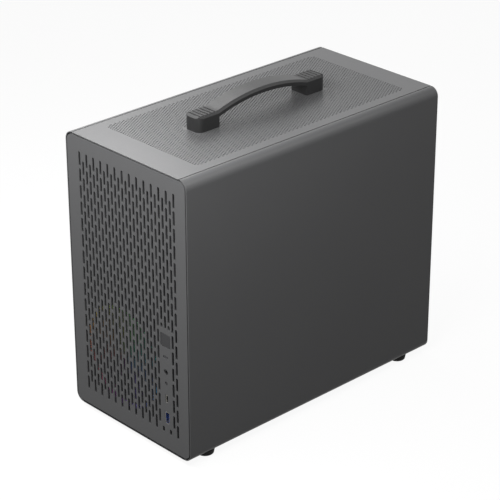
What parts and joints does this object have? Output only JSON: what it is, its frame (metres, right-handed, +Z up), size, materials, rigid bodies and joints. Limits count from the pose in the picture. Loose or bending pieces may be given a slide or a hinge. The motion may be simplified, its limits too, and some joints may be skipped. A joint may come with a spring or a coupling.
{
  "type": "computer case",
  "caption": "Compact upright computer case with a slotted front, perforated top, plain lift-off side panels, carrying handle and round rubber feet.",
  "frame": {"origin": "on the floor under the middle of the body", "axes": "+Z up, -Y towards the slotted front, +X towards the side panel nearest the front ports"},
  "size_m": [0.186, 0.362, 0.3513],
  "materials": {
    "shell_paint": "fine satin powder coat, dark grey",
    "frame_paint": "fine satin powder coat, near black",
    "black_plastic": "moulded black plastic",
    "rubber": "black moulded rubber",
    "grip_plastic": "black soft-touch moulding",
    "button_paint": "satin dark grey",
    "steel": "zinc plated steel",
    "black_steel": "blackened steel",
    "brass": "turned brass",
    "board": "printed circuit board",
    "port_blue": "blue contact carrier",
    "diffuser": "milky translucent diffuser"
  },
  "bodies": {
    "chassis": {"top_panel": "shell_paint", "base_plate": "frame_paint", "front_bulkhead": "frame_paint", "rear_panel": "frame_paint", "top_rail_left": "frame_paint", "top_rail_right": "frame_paint", "board_tray": "frame_paint", "psu_bracket": "frame_paint", "drive_bracket": "frame_paint", "slot_cover_1": "frame_paint", "slot_cover_2": "frame_paint", "slot_cover_3": "frame_paint", "slot_cover_4": "frame_paint", "io_bracket": "frame_paint", "filter_runners": "frame_paint", "power_inlet": "black_plastic", "fan_frame": "black_plastic", "io_housing": "black_plastic", "usb_c_tongue": "black_plastic", "audio_jack": "black_plastic", "side_sockets": "black_plastic", "front_sockets": "black_plastic", "tray_grommets": "rubber", "foot_front_left": "rubber", "foot_front_right": "rubber", "foot_rear_left": "rubber", "foot_rear_right": "rubber", "handle": "grip_plastic", "bracket_screws": "steel", "inlet_pins": "steel", "inlet_screws": "steel", "fan_screws": "steel", "usb_a_shell": "steel", "usb_c_shell": "steel", "handle_plates": "steel", "handle_screws": "steel", "foot_screws": "steel", "slot_screws": "black_steel", "standoffs": "brass", "io_board": "board", "usb_a_tongue": "port_blue", "light_ring": "diffuser", "status_light": "diffuser"},
    "right_panel": {"right_panel": "shell_paint", "right_studs": "steel"},
    "left_panel": {"left_panel": "shell_paint", "left_studs": "steel"},
    "front_panel": {"front_panel": "shell_paint", "front_studs": "steel", "front_filter": "black_plastic"},
    "bottom_filter": {"bottom_filter": "black_plastic"},
    "power_button": {"power_button": "button_paint"},
    "reset_button": {"reset_button": "black_plastic"},
    "fan_rotor": {"fan_rotor": "black_plastic"}
  },
  "joints": [
    {"name": "right_panel_off", "type": "slide", "parent": "chassis", "child": "right_panel", "axis": [1, 0, 0], "range_m": [0, 0.12]},
    {"name": "left_panel_off", "type": "slide", "parent": "chassis", "child": "left_panel", "axis": [-1, 0, 0], "range_m": [0, 0.12]},
    {"name": "front_panel_off", "type": "slide", "parent": "chassis", "child": "front_panel", "axis": [0, -1, 0], "range_m": [0, 0.1]},
    {"name": "bottom_filter_out", "type": "slide", "parent": "chassis", "child": "bottom_filter", "axis": [0, 1, 0], "range_m": [0, 0.26]},
    {"name": "power_press", "type": "slide", "parent": "chassis", "child": "power_button", "axis": [0, 1, 0], "range_m": [0, 0.001], "stiffness_N_per_m": 800, "springref_m": -0.0005},
    {"name": "reset_press", "type": "slide", "parent": "chassis", "child": "reset_button", "axis": [0, 1, 0], "range_m": [0, 0.0008], "stiffness_N_per_m": 800, "springref_m": -0.0005},
    {"name": "fan_spin", "type": "hinge", "parent": "chassis", "child": "fan_rotor", "pos_m": [-0.027, -0.1555, 0.08], "axis": [0, 1, 0], "continuous": true}
  ]
}
